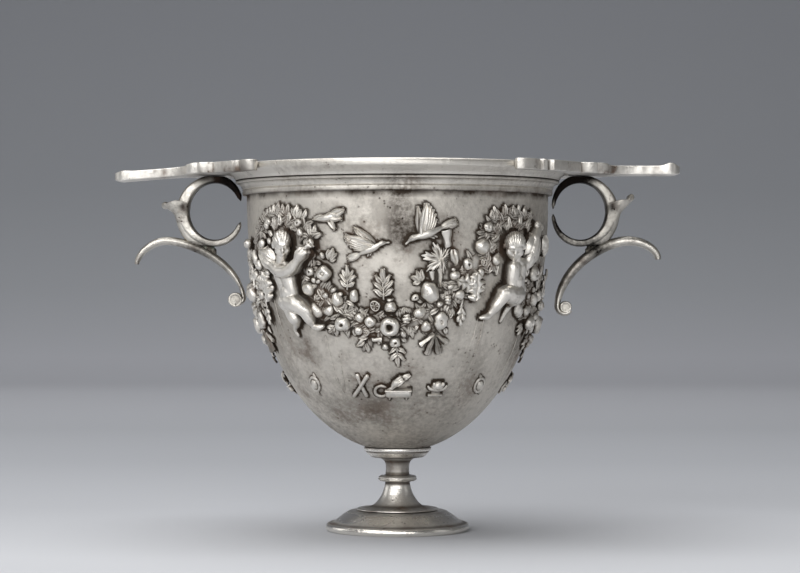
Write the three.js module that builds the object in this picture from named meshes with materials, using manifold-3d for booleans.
// Two-handled silver drinking cup (skyphos) on a turned foot: a chased outer case over a smooth liner,
// a turned rim collar, a foot in three turned pieces, and two cast handles soldered up from parts.
// Millimetres, +Z up. The origin is on the table, under the middle of the foot. The handles lie along X.
import * as THREE from 'three';
import { mergeVertices } from 'three/addons/utils/BufferGeometryUtils.js';
import Module from 'manifold-3d';

const wasm = await Module();
wasm.setup();

// Driving dimensions

const SEAM = 0.3; // solder seam left between neighbouring pieces
const BOWL_SIDES = 36; // facets round the bowl and the rim
const FOOT_SIDES = 24; // facets round the foot
const STEM_SIDES = 16; // facets round the stem

const BOWL_RADIUS = 50.1; // outside of the case, under the rim
const BOWL_DEPTH = 85.2; // from where the straight wall starts to draw in, down to the outside of the bottom
const BOWL_FULLNESS = 2.25; // 2 gives an ellipse, more gives a fuller belly
const BOWL_ROWS = 10; // rings of facets down the curved wall
const CASE_WALL = 0.8;
const LINER_WALL = 1.0;
const LINER_CLEARANCE = 0.4; // radial room between liner and case

const COLLAR_HEIGHT = 4.6;
const COLLAR_FOOT = 1.2; // how far the collar's lower edge stands proud of the wall
const COLLAR_FLARE = 3.8; // how far its upper edge does
const COLLAR_FILLET = 0.7; // height of the square fillet at its upper edge
const COLLAR_BAND = 1.3; // height of the plain band at its lower edge

const LIP_HEIGHT = 5.0;
const LIP_BAND = 2.6; // height of the upright outer band of the lip
const LIP_OVERHANG = 2.6; // how far the band stands out past the collar
const LIP_EDGE_ROUND = 0.7; // rounding of the band's two edges
const LIP_INNER_ROUND = 2.4; // rounding from the lip's top down into the liner

const SEAT_RADIUS = 11.2; // dish under the bowl
const SEAT_HEIGHT = 3.4; // from the dish's flat underside to its rim
const SEAT_BASE_RADIUS = 8.6;
const SEAT_LEDGE = 0.5; // step in the dish's side

const STEM_HEIGHT = 17.1; // from the foot disc to the dish
const STEM_TOP_RADIUS = 5.4;
const STEM_NECK_RADIUS = 3.9;
const STEM_SPIGOT_RADIUS = 2.4; // spigots that centre the stem in the dish and in the foot
const STEM_SPIGOT_LENGTH = 0.7;
const KNOP_RADIUS = 6.3;
const KNOP_HEIGHT = 2.4;
const KNOP_SHARE = 0.61; // how far up the stem the knop's middle is
const FLANGE_RADIUS = 13.6; // spread foot of the stem, where it lies on the foot disc
const FLANGE_EDGE = 0.5;

const FOOT_RADIUS = 24.0;
const FOOT_BEAD_HEIGHT = 2.6; // thick outer edge
const FOOT_STEP = 1.5; // width of the flat step inside the bead
const FOOT_SHOULDER_RADIUS = 15.2;
const FOOT_TOP = 6.7; // height of the shoulder
const FOOT_RING_WIDTH = 4.0; // width of the flat ring it stands on
const FOOT_METAL = 2.2; // thickness over the hollow underside

const PLATE_THICKNESS = 3.2;
const PLATE_RISE = 0.1; // top of the plate above the top of the lip
const PLATE_REACH = 37.4; // tongue tip, measured out from the lip
const PLATE_ARM_ANGLE = 47; // degrees round the lip from the handle to the end of each arm
const PLATE_ARM_WIDTH = 3.0;
const PLATE_KNOB_WIDTH = 4.2; // knob that ends each arm
const PLATE_ROOT_ANGLE = 15; // degrees round the lip to where the arms meet the body
const PLATE_ROOT_WIDTH = 6.4;
const PLATE_WAIST_REACH = 14.5; // where the body narrows into the tongue, out from the lip
const PLATE_WAIST_HALF = 9.0;
const TONGUE_NECK_REACH = 18.0;
const TONGUE_NECK_HALF = 5.0;
const TONGUE_HALF = 6.4; // half the tongue's width near its tip
const TONGUE_LIFT = 1.5; // how far the tip curls up
const TONGUE_CURL = 8.0; // length of tongue that curls
const TONGUE_DROOP = { left: 3, right: 0 }; // degrees that the tongue hangs

const RING_HOLE_HALF_WIDTH = 8.5; // finger hole, a little taller than wide
const RING_HOLE_HALF_HEIGHT = 9.4;
const RING_REACH = 4.3; // middle of the hole, out from the lip
const RING_END_THICKNESS = 0.9; // at the tapered ends beside the wall
const RING_THICKNESS = 4.2; // at the outside
const RING_TAPER = 3; // how quickly it thins away from there
const RING_BOTTOM_THICKNESS = 2.3; // under the hole
const RING_TOP_THICKNESS = 2.8; // over the hole, under the plate
const RING_SEAT = 0.5; // metal filed off the ring's top for its flat seat under the plate
const RING_WIDTH = 8.0;
const RING_END_WIDTH = 5.0;
const RING_OPENING = { left: 42, right: 10 }; // degrees between the tapered ends
const CALYX_FROM = -80; // degrees round the ring, where the calyx starts to swell and where it is full
const CALYX_FULL = -42;
const CALYX_LIP = { left: 6, right: 14 }; // degrees round the ring to the lip of the calyx
const CALYX_THICKNESS = 4.8;
const CALYX_TIP_LENGTH = 4.4; // leaf tip that curls out of the lip
const CALYX_TIP_ROOT = 16; // degrees from the lip down to where the leaf tip starts
const CALYX_TIP_RISE = { left: 0.2, right: 2.0 };
const CALYX_TIP_THICKNESS = 1.7;
const CALYX_TIP_WIDTH = 4.8;

const SCROLL_THICKNESS = 2.8;
const SCROLL_TIP_THICKNESS = 1.4;
const SCROLL_WIDTH = 6.4;
const SCROLL_TIP_WIDTH = 3.6;
const SCROLL_TIP_REACH = 26.0; // outer tip, from the middle of the ring
const SCROLL_TIP_DROP = { left: 7.8, right: 6.2 }; // outer tip below the crown
const SCROLL_CROWN_REACH = 16.2;
const SCROLL_CROWN_RISE = 1.9; // crown of the arch above the underside of the ring
const SCROLL_FOOT_DROP = { left: 19.6, right: 22.0 }; // middle of the rolled foot below the crown
const SCROLL_FOOT_INSET = { left: 6.9, right: 4.9 }; // rolled foot inside the middle of the ring
const SCROLL_ROLL_RADIUS = 2.1;
const SCROLL_FALL = 0.58; // share of the drop to the foot over which the strap straightens

const SADDLE_WIDTH = 4.4; // solder saddle between ring and scroll
const SADDLE_FROM = { left: -97, right: -84 }; // degrees round the ring, where the saddle starts and ends
const SADDLE_TO = { left: -79, right: -67 };

const BAND_SIDES = 8; // facets round a cast band's section

// Relief on the case. Turns go round from the front towards the right handle, in degrees. Drops are shares
// of the bowl's depth, measured down from its top; widths, heights and lifts are shares of its radius.
const SWAG_REACH = 36; // half the angle that a garland spans
const SWAG_DROP = 0.492; // middle of the garland at its lowest
const SWAG_RISE = 0.229; // how far its ends hang above that
const SWAG_SAG = 1.7; // how sharply it rises towards the ends
const SWAG_BUNCHES = 5; // bunches of fruit and leaves along it
const SWAG_BUNCH = { wide: 0.36, tall: 0.26, lift: 0.076 };
const SPRAYS = [
  { turn: -11, drop: 0.322, wide: 0.32, tall: 0.22, lift: 0.032 },
  { turn: 14, drop: 0.533, wide: 0.16, tall: 0.16, lift: 0.044 },
];
const CHILD_ANGLE = 48; // each child stands where two garlands meet
const CHILD = [
  { turn: 0, drop: 0.327, wide: 0.16, tall: 0.3, lift: 0.092 },
  { turn: -2, drop: 0.192, wide: 0.15, tall: 0.17, lift: 0.124 },
  { turn: -8, drop: 0.445, wide: 0.38, tall: 0.12, lift: 0.084, lean: 38 },
  { turn: 1, drop: 0.474, wide: 0.1, tall: 0.3, lift: 0.064 },
  { turn: -7, drop: 0.245, wide: 0.26, tall: 0.09, lift: 0.084, lean: -34 },
  { turn: 0, drop: 0.11, wide: 0.44, tall: 0.18, lift: 0.048 },
];
const BIRDS = [
  { turn: -24, drop: 0.095, wide: 0.24, tall: 0.1, lift: 0.028 },
  { turn: -11.7, drop: 0.184, wide: 0.28, tall: 0.16, lift: 0.03, lean: 17 },
  { turn: 11.4, drop: 0.14, wide: 0.34, tall: 0.18, lift: 0.034, lean: 21 },
];
const TOKENS = [
  { turn: -18, drop: 0.721, wide: 0.16, tall: 0.14, lift: 0.024 },
  { turn: 0, drop: 0.715, wide: 0.22, tall: 0.14, lift: 0.032 },
  { turn: 19, drop: 0.727, wide: 0.14, tall: 0.12, lift: 0.028 },
];

// Derived levels and radii

const FLANGE_BOTTOM = FOOT_TOP + SEAM;
const STEM_TOP = FLANGE_BOTTOM + STEM_HEIGHT;
const KNOP_LEVEL = FLANGE_BOTTOM + STEM_HEIGHT * KNOP_SHARE;
const SEAT_BOTTOM = STEM_TOP + SEAM;
const BOWL_BOTTOM = SEAT_BOTTOM + SEAT_HEIGHT + SEAM - bowlRise(SEAT_RADIUS);
const BOWL_TOP = BOWL_BOTTOM + BOWL_DEPTH;
const COLLAR_BOTTOM = BOWL_TOP;
const COLLAR_TOP = COLLAR_BOTTOM + COLLAR_HEIGHT;
const LIP_BOTTOM = COLLAR_TOP + SEAM;
const LIP_TOP = LIP_BOTTOM + LIP_HEIGHT;
const LIP_NECK_RADIUS = BOWL_RADIUS + COLLAR_FLARE;
const LIP_RADIUS = LIP_NECK_RADIUS + LIP_OVERHANG;
const PLATE_TOP = LIP_TOP + PLATE_RISE;
const PLATE_UNDERSIDE = PLATE_TOP - PLATE_THICKNESS;
const RING_X = LIP_RADIUS + RING_REACH;
const RING_Z = PLATE_UNDERSIDE - SEAM - RING_TOP_THICKNESS + RING_SEAT - RING_HOLE_HALF_HEIGHT;
const RING_UNDERSIDE = RING_Z - RING_HOLE_HALF_HEIGHT - RING_BOTTOM_THICKNESS;

// Solids and geometry

const point = (x, y) => new THREE.Vector2(x, y);
const radians = THREE.MathUtils.degToRad;
const ease = (t) => t * t * (3 - 2 * t);

// Turns a profile of (radius, height) points about +Z. The profile runs anticlockwise round the metal.
function turned(profile, sides) {
  return new THREE.LatheGeometry(profile, sides).rotateX(Math.PI / 2);
}

function solidFrom(geometry) {
  const bare = geometry.clone();
  bare.deleteAttribute('normal');
  bare.deleteAttribute('uv');
  const merged = mergeVertices(bare, 1e-4);
  return new wasm.Manifold(new wasm.Mesh({
    numProp: 3,
    vertProperties: merged.attributes.position.array,
    triVerts: new Uint32Array(merged.index.array),
  }));
}

function geometryFrom(solid) {
  const mesh = solid.getMesh();
  const geometry = new THREE.BufferGeometry();
  geometry.setAttribute('position', new THREE.BufferAttribute(mesh.vertProperties, mesh.numProp));
  geometry.setIndex(new THREE.BufferAttribute(mesh.triVerts, 1));
  geometry.computeVertexNormals();
  return geometry;
}

// Points of a quarter-round or cavetto between two corners. The curve leaves the first corner level.
function cove(from, to, steps) {
  return Array.from({ length: steps + 1 }, (_, i) => {
    const a = (i / steps) * (Math.PI / 2);
    return point(from.x + (to.x - from.x) * Math.sin(a), from.y + (to.y - from.y) * (1 - Math.cos(a)));
  });
}

// Smooth profile through a few points.
function faired(points, steps) {
  return new THREE.SplineCurve(points).getPoints(steps);
}

// A cast band: a flattened round section carried along a path in the XZ plane, with its own thickness and
// width at each step. The ends are closed flat.
function castBand(path, thickness, width, steps) {
  const corners = [];
  for (let i = 0; i <= steps; i++) {
    const t = i / steps;
    const middle = path.getPoint(t);
    const along = path.getTangent(t);
    const outward = point(along.y, -along.x);
    for (let k = 0; k < BAND_SIDES; k++) {
      const a = ((k + 0.5) / BAND_SIDES) * 2 * Math.PI;
      const across = (Math.cos(a) * thickness(t)) / 2;
      const sideways = (Math.sin(a) * width(t)) / 2;
      corners.push(middle.x + outward.x * across, sideways, middle.y + outward.y * across);
    }
  }
  const faces = [];
  for (let i = 0; i < steps; i++) {
    for (let k = 0; k < BAND_SIDES; k++) {
      const here = i * BAND_SIDES + k;
      const next = i * BAND_SIDES + ((k + 1) % BAND_SIDES);
      faces.push(here, next, next + BAND_SIDES, here, next + BAND_SIDES, here + BAND_SIDES);
    }
  }
  const last = steps * BAND_SIDES;
  for (let k = 1; k < BAND_SIDES - 1; k++) {
    faces.push(0, k + 1, k, last, last + k, last + k + 1);
  }
  const geometry = new THREE.BufferGeometry();
  geometry.setAttribute('position', new THREE.Float32BufferAttribute(corners, 3));
  geometry.setIndex(faces);
  return geometry;
}

// Carries a flat outline in the XZ plane through a width along Y, evenly to both sides of the handle.
function slab(shape, width) {
  const geometry = new THREE.ExtrudeGeometry(shape, { depth: width, bevelEnabled: false });
  return geometry.rotateX(Math.PI / 2).translate(0, width / 2, 0);
}

// Bowl: case and liner share one profile, set in by the metal between

// How far the bowl's outside has risen above its bottom at a radius.
function bowlRise(radius) {
  const drawn = 1 - (radius / BOWL_RADIUS) ** 2;
  return BOWL_DEPTH * (1 - drawn ** (1 / BOWL_FULLNESS));
}

// From the axis at the bottom to the top of the curved wall.
function bowlProfile(inset) {
  return Array.from({ length: BOWL_ROWS + 1 }, (_, i) => {
    const a = (i / BOWL_ROWS) * (Math.PI / 2);
    const drop = (BOWL_DEPTH - inset) * (Math.cos(a) ** 2) ** (1 / BOWL_FULLNESS);
    return point((BOWL_RADIUS - inset) * Math.sin(a), BOWL_TOP - drop);
  });
}

function outerCase() {
  const outside = bowlProfile(0);
  const inside = bowlProfile(CASE_WALL).reverse();
  const edge = [point(BOWL_RADIUS, COLLAR_TOP), point(BOWL_RADIUS - CASE_WALL, COLLAR_TOP)];
  const wall = solidFrom(turned([...outside, ...edge, ...inside], BOWL_SIDES));
  const core = solidFrom(turned([...bowlProfile(CASE_WALL / 2), point(0, BOWL_TOP)], BOWL_SIDES));
  const raised = [0, 1, 2, 3].flatMap((quarter) => quarterRelief(quarter * 90, quarter % 2 === 0));
  return geometryFrom(wall.add(wasm.Manifold.union(raised).subtract(core)));
}

// Directions round, up and out of the case at a place on its outside.
function onWall(turn, drop) {
  const a = radians(turn);
  const share = Math.sqrt(1 - drop ** BOWL_FULLNESS);
  const slope = (BOWL_RADIUS * BOWL_FULLNESS * drop ** (BOWL_FULLNESS - 1)) / (2 * share * BOWL_DEPTH);
  const level = new THREE.Vector3(Math.sin(a), -Math.cos(a), 0);
  const round = new THREE.Vector3(Math.cos(a), Math.sin(a), 0);
  const up = level.clone().multiplyScalar(slope).setZ(1).normalize();
  const out = round.clone().cross(up);
  return new THREE.Matrix4().makeBasis(round, up, out)
    .setPosition(level.multiplyScalar(BOWL_RADIUS * share).setZ(BOWL_TOP - drop * BOWL_DEPTH));
}

// A raised lump with few facets, widest where it meets the wall.
function lump({ turn, drop, wide, tall, lift, lean = 0 }) {
  const shape = new THREE.OctahedronGeometry(BOWL_RADIUS, 1).scale(wide / 2, tall / 2, lift);
  return solidFrom(shape.rotateZ(radians(lean)).applyMatrix4(onWall(turn, drop)));
}

// Everything raised on one quarter of the case: a garland, the child at its right end, and small objects.
function quarterRelief(middle, birds) {
  const swag = Array.from({ length: SWAG_BUNCHES }, (_, i) => {
    const share = (2 * i) / (SWAG_BUNCHES - 1) - 1;
    const drop = SWAG_DROP - SWAG_RISE * Math.abs(share) ** SWAG_SAG;
    return { ...SWAG_BUNCH, turn: share * SWAG_REACH, drop };
  });
  const mirrored = birds ? 1 : -1;
  const stand = birds ? CHILD_ANGLE : 90 - CHILD_ANGLE;
  const child = CHILD.map((limb) => ({
    ...limb, turn: stand + limb.turn * mirrored, lean: (limb.lean ?? 0) * mirrored,
  }));
  return [...swag, ...SPRAYS, ...TOKENS, ...child, ...(birds ? BIRDS : [])].map(
    (shape) => lump({ ...shape, turn: shape.turn + middle }));
}

function innerLiner() {
  const outer = CASE_WALL + LINER_CLEARANCE;
  const inner = outer + LINER_WALL;
  const throat = BOWL_RADIUS - inner;
  const bandBottom = LIP_TOP - LIP_BAND;
  const lip = [
    point(BOWL_RADIUS - outer, LIP_BOTTOM),
    ...cove(point(LIP_NECK_RADIUS, LIP_BOTTOM), point(LIP_RADIUS - LIP_EDGE_ROUND, bandBottom), 3),
    point(LIP_RADIUS, bandBottom + LIP_EDGE_ROUND),
    point(LIP_RADIUS, LIP_TOP - LIP_EDGE_ROUND),
    point(LIP_RADIUS - LIP_EDGE_ROUND, LIP_TOP),
    ...cove(point(throat + LIP_INNER_ROUND, LIP_TOP), point(throat, LIP_TOP - LIP_INNER_ROUND), 3),
  ];
  return turned([...bowlProfile(outer), ...lip, ...bowlProfile(inner).reverse()], BOWL_SIDES);
}

function rimCollar() {
  const bore = BOWL_RADIUS + SEAM;
  const lower = BOWL_RADIUS + COLLAR_FOOT;
  const upper = BOWL_RADIUS + COLLAR_FLARE;
  const edge = point(upper, COLLAR_TOP - COLLAR_FILLET);
  const hollow = cove(edge, point(lower, COLLAR_BOTTOM + COLLAR_BAND), 4);
  return turned([
    point(bore, COLLAR_BOTTOM),
    point(lower, COLLAR_BOTTOM),
    ...hollow.reverse(),
    point(upper, COLLAR_TOP),
    point(bore, COLLAR_TOP),
    point(bore, COLLAR_BOTTOM),
  ], BOWL_SIDES);
}

// Foot: a dish under the bowl, the stem with its knop, and the spread disc

function bowlSeat() {
  const rimHeight = SEAT_BOTTOM + SEAT_HEIGHT;
  const step = SEAT_RADIUS - SEAT_LEDGE;
  const socket = STEM_SPIGOT_RADIUS + SEAM;
  const cradle = [0.95, 0.7, 0.45].map((share) => share * SEAT_RADIUS);
  return turned([
    point(socket, SEAT_BOTTOM),
    ...faired([
      point(SEAT_BASE_RADIUS, SEAT_BOTTOM),
      point((SEAT_BASE_RADIUS + step) / 2 + SEAT_LEDGE / 2, SEAT_BOTTOM + SEAT_HEIGHT / 4),
      point(step, SEAT_BOTTOM + SEAT_HEIGHT / 2),
    ], 4),
    point(SEAT_RADIUS, SEAT_BOTTOM + SEAT_HEIGHT / 2 + SEAT_LEDGE / 2),
    point(SEAT_RADIUS, rimHeight),
    ...[...cradle, socket].map((radius) => point(radius, BOWL_BOTTOM + bowlRise(radius) - SEAM)),
    point(socket, SEAT_BOTTOM),
  ], FOOT_SIDES);
}

function stem() {
  const knopLow = KNOP_LEVEL - KNOP_HEIGHT / 2;
  const knopHigh = KNOP_LEVEL + KNOP_HEIGHT / 2;
  const flangeTop = FLANGE_BOTTOM + FLANGE_EDGE;
  const flare = faired([
    point(FLANGE_RADIUS - FLANGE_EDGE, flangeTop),
    point(KNOP_RADIUS + (FLANGE_RADIUS - KNOP_RADIUS) / 3, flangeTop + (knopLow - flangeTop) / 12),
    point((KNOP_RADIUS + STEM_NECK_RADIUS) / 2, flangeTop + (knopLow - flangeTop) / 2.6),
    point(STEM_NECK_RADIUS, knopLow),
  ], 9);
  const knop = Array.from({ length: 6 }, (_, i) => {
    const a = ((i + 0.5) / 6 - 0.5) * Math.PI;
    const bulge = KNOP_HEIGHT / 2;
    return point(KNOP_RADIUS - bulge + bulge * Math.cos(a), KNOP_LEVEL + bulge * Math.sin(a));
  });
  const neck = faired([
    point(STEM_NECK_RADIUS, knopHigh),
    point(STEM_NECK_RADIUS, knopHigh + (STEM_TOP - knopHigh) / 3),
    point(STEM_TOP_RADIUS, STEM_TOP),
  ], 6);
  return turned([
    point(0, FLANGE_BOTTOM - STEM_SPIGOT_LENGTH),
    point(STEM_SPIGOT_RADIUS, FLANGE_BOTTOM - STEM_SPIGOT_LENGTH),
    point(STEM_SPIGOT_RADIUS, FLANGE_BOTTOM),
    point(FLANGE_RADIUS, FLANGE_BOTTOM),
    ...flare,
    ...knop,
    ...neck,
    point(STEM_SPIGOT_RADIUS, STEM_TOP),
    point(STEM_SPIGOT_RADIUS, STEM_TOP + STEM_SPIGOT_LENGTH),
    point(0, STEM_TOP + STEM_SPIGOT_LENGTH),
  ], STEM_SIDES);
}

function footDisc() {
  const socket = STEM_SPIGOT_RADIUS + SEAM;
  const stepRadius = FOOT_RADIUS - FOOT_STEP;
  const ringInside = FOOT_RADIUS - FOOT_STEP - FOOT_RING_WIDTH;
  const bead = Array.from({ length: 6 }, (_, i) => {
    const a = (i / 5 - 0.5) * Math.PI;
    const bulge = FOOT_BEAD_HEIGHT / 2;
    return point(FOOT_RADIUS - bulge + bulge * Math.cos(a), bulge + bulge * Math.sin(a));
  });
  const ogee = Array.from({ length: 8 }, (_, i) => {
    const t = i / 7;
    const height = FOOT_BEAD_HEIGHT + (FOOT_TOP - FOOT_BEAD_HEIGHT) * ease(t);
    return point(stepRadius + (FOOT_SHOULDER_RADIUS - stepRadius) * t, height);
  });
  return turned([
    point(ringInside, 0),
    ...bead,
    ...ogee,
    point(socket, FOOT_TOP),
    point(socket, FOOT_TOP - FOOT_METAL),
    point(FOOT_SHOULDER_RADIUS - FOOT_METAL, FOOT_TOP - FOOT_METAL),
    point(ringInside, 0),
  ], FOOT_SIDES);
}

// Handle: thumb plate, finger ring with its leaf spur, lower scroll, and the solder saddle between the two

// Plan of the thumb plate on the +X side. Its arms lie against the lip, and a tongue runs out between them.
function platePlan() {
  const inner = LIP_RADIUS + SEAM;
  const round = (degrees, width) => {
    const a = radians(degrees);
    return point((inner + width) * Math.cos(a), (inner + width) * Math.sin(a));
  };
  const knobMiddle = PLATE_ARM_ANGLE - 3;
  const bead = PLATE_ARM_ANGLE - 8;
  const side = [
    ...[PLATE_ROOT_ANGLE, (PLATE_ROOT_ANGLE + bead) / 2].map(
      (angle, i) => round(angle, i ? PLATE_ARM_WIDTH + 0.6 : PLATE_ROOT_WIDTH)),
    round(bead - 1.6, PLATE_ARM_WIDTH - 0.6),
    round(bead - 1, PLATE_ARM_WIDTH + 0.5),
    round(bead + 1, PLATE_ARM_WIDTH + 0.5),
    round(bead + 1.6, PLATE_ARM_WIDTH - 0.6),
    round(knobMiddle - 2.4, PLATE_KNOB_WIDTH),
    round(knobMiddle + 1.4, PLATE_KNOB_WIDTH),
    round(PLATE_ARM_ANGLE, PLATE_KNOB_WIDTH / 2),
  ];
  const waist = LIP_RADIUS + PLATE_WAIST_REACH;
  const neck = LIP_RADIUS + TONGUE_NECK_REACH;
  const tip = LIP_RADIUS + PLATE_REACH;
  const tongueEnd = tip - TONGUE_HALF;
  const shape = new THREE.Shape();
  shape.absarc(0, 0, inner, radians(PLATE_ARM_ANGLE), -radians(PLATE_ARM_ANGLE), true);
  for (const p of [...side].reverse()) {
    shape.lineTo(p.x, -p.y);
  }
  shape.quadraticCurveTo(waist - PLATE_WAIST_HALF / 2, -PLATE_WAIST_HALF, waist, -PLATE_WAIST_HALF);
  shape.lineTo(neck, -TONGUE_NECK_HALF);
  shape.lineTo((neck + tongueEnd) / 2, -TONGUE_NECK_HALF);
  shape.lineTo(tongueEnd, -TONGUE_HALF);
  shape.absarc(tongueEnd, 0, TONGUE_HALF, -Math.PI / 2, Math.PI / 2, false);
  shape.lineTo((neck + tongueEnd) / 2, TONGUE_NECK_HALF);
  shape.lineTo(neck, TONGUE_NECK_HALF);
  shape.lineTo(waist, PLATE_WAIST_HALF);
  shape.quadraticCurveTo(waist - PLATE_WAIST_HALF / 2, PLATE_WAIST_HALF, side[0].x, side[0].y);
  for (const p of side) {
    shape.lineTo(p.x, p.y);
  }
  return shape;
}

function thumbPlate(side) {
  const plate = new THREE.ExtrudeGeometry(platePlan(), {
    depth: PLATE_THICKNESS, bevelEnabled: false, curveSegments: 10,
  });
  plate.translate(0, 0, PLATE_UNDERSIDE);
  const corners = plate.attributes.position;
  const curlStart = LIP_RADIUS + PLATE_REACH - TONGUE_CURL;
  const droopStart = LIP_RADIUS + PLATE_WAIST_REACH;
  const droop = Math.tan(radians(TONGUE_DROOP[side]));
  for (let i = 0; i < corners.count; i++) {
    const past = Math.max(0, corners.getX(i) - curlStart) / TONGUE_CURL;
    const hang = Math.max(0, corners.getX(i) - droopStart) * droop;
    corners.setZ(i, corners.getZ(i) + TONGUE_LIFT * past * past - hang);
  }
  return plate;
}

// Metal round the finger hole at an angle from the outward direction. The tapered ends face the wall, and a
// calyx swells out of the lower limb up to its lip.
function ringThickness(angle, lip) {
  const body = Math.sin(angle) > 0 ? RING_TOP_THICKNESS : RING_BOTTOM_THICKNESS;
  const goal = Math.cos(angle) > 0 ? RING_THICKNESS : RING_END_THICKNESS;
  const strap = body + (goal - body) * Math.abs(Math.cos(angle)) ** RING_TAPER;
  const swell = (angle - radians(CALYX_FROM)) / radians(CALYX_FULL - CALYX_FROM);
  if (swell < 0 || angle > radians(lip)) {
    return strap;
  }
  const calyx = RING_BOTTOM_THICKNESS + (CALYX_THICKNESS - RING_BOTTOM_THICKNESS) * ease(Math.min(1, swell));
  return Math.max(strap, calyx);
}

function ringWidth(angle) {
  return RING_END_WIDTH + (RING_WIDTH - RING_END_WIDTH) * ease((1 + Math.cos(angle)) / 2);
}

function ringPoint(angle, offset) {
  return point(
    RING_X + (RING_HOLE_HALF_WIDTH + offset) * Math.cos(angle),
    RING_Z + (RING_HOLE_HALF_HEIGHT + offset) * Math.sin(angle),
  );
}

// Middle line of the ring's metal, from the lower tapered end outwards and up to the upper one.
class RingPath extends THREE.Curve {
  constructor(side) {
    super();
    this.reach = Math.PI - radians(RING_OPENING[side]) / 2;
    this.lip = CALYX_LIP[side];
  }

  angle(t) {
    return (2 * t - 1) * this.reach;
  }

  getPoint(t) {
    const angle = this.angle(t);
    return ringPoint(angle, ringThickness(angle, this.lip) / 2);
  }

  getTangent(t) {
    const angle = this.angle(t);
    return point(
      -RING_HOLE_HALF_WIDTH * Math.sin(angle),
      RING_HOLE_HALF_HEIGHT * Math.cos(angle),
    ).normalize();
  }
}

function fingerRing(side) {
  const path = new RingPath(side);
  const strap = castBand(
    path,
    (t) => ringThickness(path.angle(t), path.lip),
    (t) => ringWidth(path.angle(t)),
    36,
  );
  const lip = ringPoint(radians(path.lip), CALYX_THICKNESS);
  const root = ringPoint(radians(path.lip - CALYX_TIP_ROOT), CALYX_THICKNESS / 2);
  const tip = point(lip.x + CALYX_TIP_LENGTH, lip.y + CALYX_TIP_RISE[side]);
  const leaf = castBand(
    new THREE.QuadraticBezierCurve(root, point(tip.x - CALYX_TIP_THICKNESS, (root.y + lip.y) / 2), tip),
    (t) => RING_BOTTOM_THICKNESS + (CALYX_TIP_THICKNESS - RING_BOTTOM_THICKNESS) * t,
    (t) => RING_END_WIDTH + (CALYX_TIP_WIDTH - RING_END_WIDTH) * t,
    7,
  );
  const headroom = new THREE.BoxGeometry(
    4 * RING_HOLE_HALF_WIDTH, 2 * RING_WIDTH, 2 * RING_HOLE_HALF_HEIGHT,
  );
  headroom.translate(RING_X, 0, PLATE_UNDERSIDE - SEAM + RING_HOLE_HALF_HEIGHT);
  const bed = castBand(
    scrollPath(side).path,
    (t) => scrollThickness(t) + 2 * SEAM,
    () => 2 * RING_WIDTH,
    26,
  );
  return geometryFrom(
    solidFrom(strap).add(solidFrom(leaf)).subtract(solidFrom(headroom)).subtract(solidFrom(bed)));
}

// From the outer tip over the crown and down to the rolled foot beside the wall.
function scrollPath(side) {
  const crown = point(RING_X + SCROLL_CROWN_REACH, RING_UNDERSIDE + SCROLL_CROWN_RISE);
  const tip = point(RING_X + SCROLL_TIP_REACH, crown.y - SCROLL_TIP_DROP[side]);
  const roll = point(RING_X - SCROLL_FOOT_INSET[side], crown.y - SCROLL_FOOT_DROP[side]);
  const foot = point(roll.x - SCROLL_ROLL_RADIUS - SCROLL_TIP_THICKNESS / 4, roll.y);
  const shoulder = (tip.x - crown.x) / 2;
  const path = new THREE.CurvePath();
  path.add(new THREE.CubicBezierCurve(
    tip,
    point(tip.x, tip.y + SCROLL_TIP_DROP[side] / 2),
    point(crown.x + shoulder, crown.y),
    crown,
  ));
  path.add(new THREE.CubicBezierCurve(
    crown,
    point(crown.x - shoulder * 1.75, crown.y),
    point(foot.x + SCROLL_TIP_THICKNESS, foot.y + SCROLL_FOOT_DROP[side] * SCROLL_FALL),
    foot,
  ));
  return { path, roll };
}

// Full metal at the crown, thinner towards both ends.
function scrollThickness(t) {
  return SCROLL_TIP_THICKNESS + (SCROLL_THICKNESS - SCROLL_TIP_THICKNESS) * Math.sin(Math.PI * t) ** 0.7;
}

function lowerScroll(side) {
  const { path, roll } = scrollPath(side);
  const strap = castBand(
    path,
    scrollThickness,
    (t) => SCROLL_TIP_WIDTH + (SCROLL_WIDTH - SCROLL_TIP_WIDTH) * ease(Math.min(1, 2 * t)),
    26,
  );
  const rolled = new THREE.CylinderGeometry(SCROLL_ROLL_RADIUS, SCROLL_ROLL_RADIUS, SCROLL_WIDTH, 18);
  rolled.translate(roll.x, 0, roll.y);
  return geometryFrom(solidFrom(strap).add(solidFrom(rolled)));
}

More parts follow.
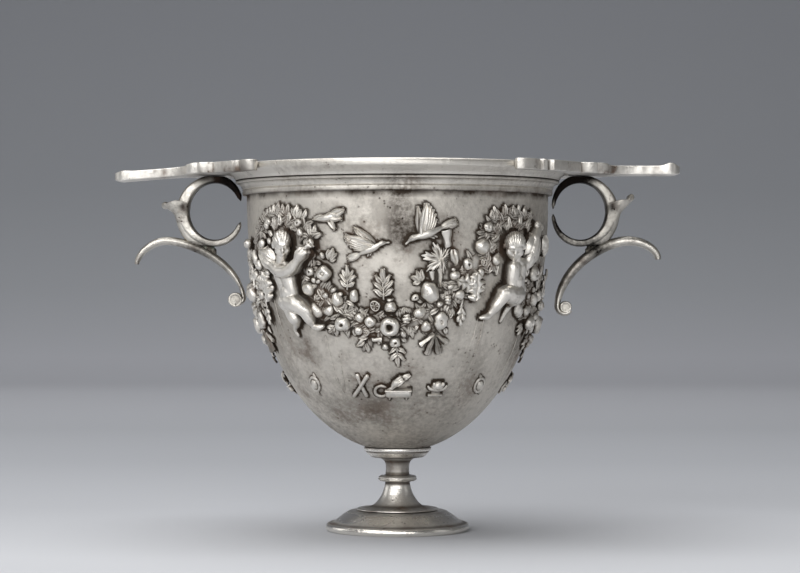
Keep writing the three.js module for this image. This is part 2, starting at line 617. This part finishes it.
// Fills the wedge between the underside of the ring and the top of the scroll, a seam away from both.
function scrollSolder(side) {
  const steps = 10;
  const above = [];
  const below = [];
  const { path } = scrollPath(side);
  const strap = path.getSpacedPoints(80);
  for (let i = 0; i <= steps; i++) {
    const angle = radians(SADDLE_FROM[side] + (SADDLE_TO[side] - SADDLE_FROM[side]) * (i / steps));
    const edge = ringPoint(angle, ringThickness(angle, CALYX_LIP[side]) + SEAM);
    const under = strap.reduce((best, p) => (Math.abs(p.x - edge.x) < Math.abs(best.x - edge.x) ? p : best));
    const share = strap.indexOf(under) / (strap.length - 1);
    const along = path.getTangentAt(share);
    const clear = (scrollThickness(share) / 2 + SEAM) / Math.abs(along.x);
    above.push(edge);
    below.push(point(edge.x, under.y + clear));
  }
  return slab(new THREE.Shape([...above, ...below.reverse()]), SADDLE_WIDTH);
}

// Assembly

const SILVER = { color: 0xb9b4a8, roughness: 0.38, metalness: 0.95 };
const CAST_SILVER = { color: 0xc4bfb2, roughness: 0.34, metalness: 0.95 };
const SOLDER = { color: 0x6f6a5e, roughness: 0.6, metalness: 0.8 };

function piece(name, geometry, finish) {
  const mesh = new THREE.Mesh(geometry, new THREE.MeshStandardMaterial(finish));
  mesh.name = name;
  return mesh;
}

function handle(side, turn) {
  const group = new THREE.Group();
  group.add(
    piece(`${side}_thumb_plate`, thumbPlate(side), CAST_SILVER),
    piece(`${side}_finger_ring`, fingerRing(side), CAST_SILVER),
    piece(`${side}_lower_scroll`, lowerScroll(side), CAST_SILVER),
    piece(`${side}_scroll_solder`, scrollSolder(side), SOLDER),
  );
  group.rotation.z = turn;
  return group;
}

const skyphos = new THREE.Group();
skyphos.add(
  piece('outer_case', outerCase(), SILVER),
  piece('inner_liner', innerLiner(), SILVER),
  piece('rim_collar', rimCollar(), SILVER),
  piece('bowl_seat', bowlSeat(), CAST_SILVER),
  piece('stem', stem(), CAST_SILVER),
  piece('foot_disc', footDisc(), CAST_SILVER),
  handle('right', 0),
  handle('left', Math.PI),
);

export default skyphos;
